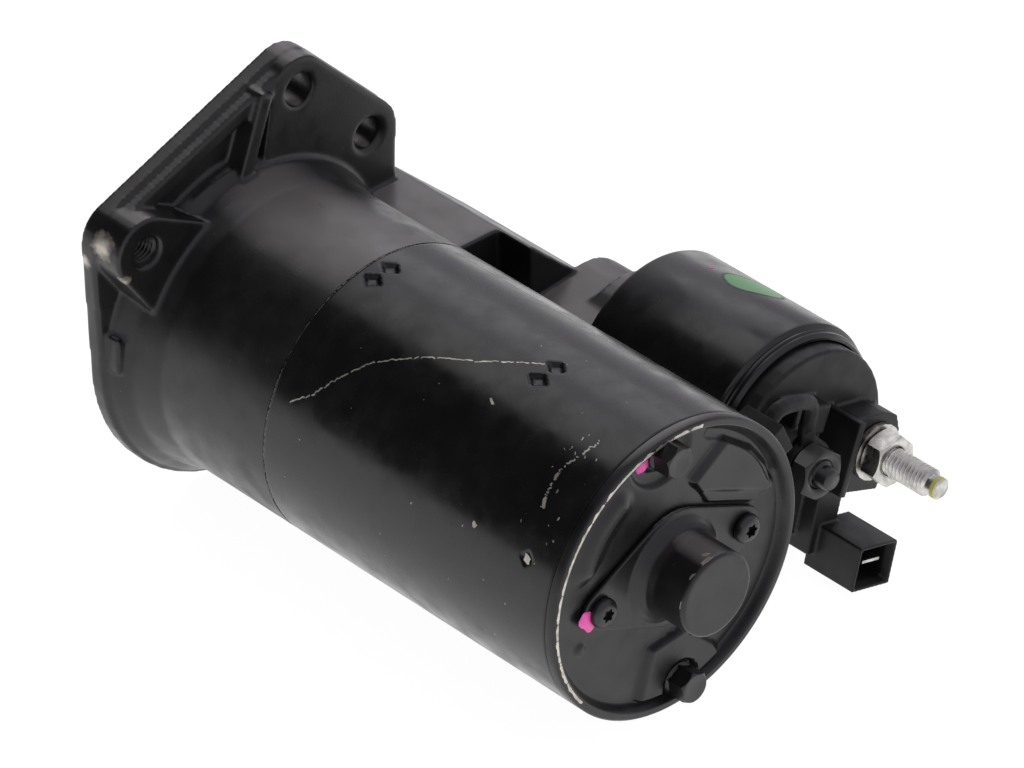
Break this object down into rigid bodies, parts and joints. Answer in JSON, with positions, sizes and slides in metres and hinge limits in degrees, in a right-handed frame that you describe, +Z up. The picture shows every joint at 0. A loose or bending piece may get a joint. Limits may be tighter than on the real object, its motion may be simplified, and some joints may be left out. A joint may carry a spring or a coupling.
{
  "type": "starter motor",
  "caption": "Planetary-geared starter motor with a three-point flange, side solenoid, sliding pinion and threaded battery terminal.",
  "frame": {"origin": "middle of the bounding box's base, on the surface that the motor lies on", "axes": "+X along the motor axis from the pinion to the end cover, +Y from the motor axis towards the solenoid, +Z up as the motor lies"},
  "size_m": [0.2074, 0.1528, 0.1195],
  "materials": {
    "cast_black": "black paint over a cast surface, worn at corners",
    "tube_black": "semi-gloss black paint on smooth steel, scratched",
    "moulded_black": "glass-filled plastic, matt",
    "zinc_plate": "bright zinc plating",
    "bare_steel": "machined steel",
    "black_screw": "blackened steel",
    "copper": "bare copper",
    "bronze": "sintered bronze",
    "ferrite": "dark ceramic",
    "carbon": "copper graphite",
    "black_rubber": "matt rubber"
  },
  "bodies": {
    "root": {"drive_housing": "cast_black", "drive_bearing": "bare_steel", "shaft_seal": "black_rubber", "yoke": "tube_black", "end_cover": "cast_black", "bearing_cap": "cast_black", "cap_screw_1": "black_screw", "cap_screw_2": "black_screw", "through_bolt_1": "black_screw", "through_bolt_2": "black_screw", "rear_bush": "bronze", "ring_gear": "bare_steel", "gear_plate": "bare_steel", "brush_holder": "moulded_black", "solenoid_case": "tube_black", "solenoid_coil": "copper", "solenoid_core": "bare_steel", "solenoid_cap": "moulded_black", "battery_stud": "zinc_plate", "battery_nut": "zinc_plate", "battery_washer": "zinc_plate", "motor_stud": "black_screw", "motor_nut": "cast_black", "control_blade": "zinc_plate", "motor_lead": "black_rubber", "lead_grommet": "black_rubber", "solenoid_screw_1": "black_screw", "solenoid_screw_2": "black_screw", "lever_pivot": "bare_steel", "plunger_spring": "bare_steel", "contact_spring": "bare_steel", "magnet_1": "ferrite", "magnet_2": "ferrite", "magnet_3": "ferrite", "magnet_4": "ferrite", "magnet_5": "ferrite", "magnet_6": "ferrite", "brush_1": "carbon", "brush_2": "carbon", "brush_3": "carbon", "brush_4": "carbon", "brush_spring_1": "bare_steel", "brush_spring_2": "bare_steel", "brush_spring_3": "bare_steel", "brush_spring_4": "bare_steel"},
    "armature": {"armature_shaft": "bare_steel", "armature_core": "bare_steel", "winding_front": "copper", "winding_rear": "copper", "commutator": "copper"},
    "carrier": {"planet_carrier": "bare_steel"},
    "planet_1": {"planet_gear_1": "bare_steel"},
    "planet_2": {"planet_gear_2": "bare_steel"},
    "planet_3": {"planet_gear_3": "bare_steel"},
    "clutch": {"clutch": "bare_steel"},
    "pinion": {"pinion": "bare_steel"},
    "lever": {"fork_lever": "bare_steel"},
    "plunger": {"plunger": "bare_steel"},
    "contact": {"contact_bridge": "copper"}
  },
  "joints": [
    {"name": "armature_spin", "type": "hinge", "parent": "root", "child": "armature", "pos_m": [0.02235, -0.02645, 0.0483], "axis": [1, 0, 0], "continuous": true},
    {"name": "carrier_spin", "type": "hinge", "parent": "root", "child": "carrier", "pos_m": [-0.01865, -0.02645, 0.0483], "axis": [1, 0, 0], "continuous": true},
    {"name": "planet_1_spin", "type": "hinge", "parent": "carrier", "child": "planet_1", "pos_m": [-0.0098, -0.0092, 0.0483], "axis": [1, 0, 0], "continuous": true},
    {"name": "planet_2_spin", "type": "hinge", "parent": "carrier", "child": "planet_2", "pos_m": [-0.0098, -0.03508, 0.06324], "axis": [1, 0, 0], "continuous": true},
    {"name": "planet_3_spin", "type": "hinge", "parent": "carrier", "child": "planet_3", "pos_m": [-0.0098, -0.03508, 0.03336], "axis": [1, 0, 0], "continuous": true},
    {"name": "plunger_slide", "type": "slide", "parent": "root", "child": "plunger", "axis": [1, 0, 0], "range_m": [0, 0.01], "stiffness_N_per_m": 500, "springref_m": -0.01, "deforming": ["plunger_spring"]},
    {"name": "lever_swing", "type": "hinge", "parent": "root", "child": "lever", "pos_m": [-0.03465, 0.01603, 0.04229], "axis": [0, -0.1401, -0.9901], "range_deg": [0, 19]},
    {"name": "clutch_slide", "type": "slide", "parent": "carrier", "child": "clutch", "axis": [-1, 0, 0], "range_m": [0, 0.0142]},
    {"name": "pinion_overrun", "type": "hinge", "parent": "clutch", "child": "pinion", "pos_m": [-0.09465, -0.02645, 0.0483], "axis": [1, 0, 0], "continuous": true},
    {"name": "contact_slide", "type": "slide", "parent": "root", "child": "contact", "axis": [1, 0, 0], "range_m": [0, 0.00272], "deforming": ["contact_spring"]}
  ],
  "couplings": [
    {"joint": "carrier_spin", "follows": "armature_spin", "ratio": 0.2},
    {"joint": "planet_1_spin", "follows": "armature_spin", "ratio": -0.53333},
    {"joint": "planet_2_spin", "follows": "armature_spin", "ratio": -0.53333},
    {"joint": "planet_3_spin", "follows": "armature_spin", "ratio": -0.53333},
    {"joint": "lever_swing", "follows": "plunger_slide", "rad_per_m": 32.812},
    {"joint": "clutch_slide", "follows": "plunger_slide", "ratio": 1.4},
    {"joint": "contact_slide", "follows": "plunger_slide", "ratio": 0.27}
  ]
}
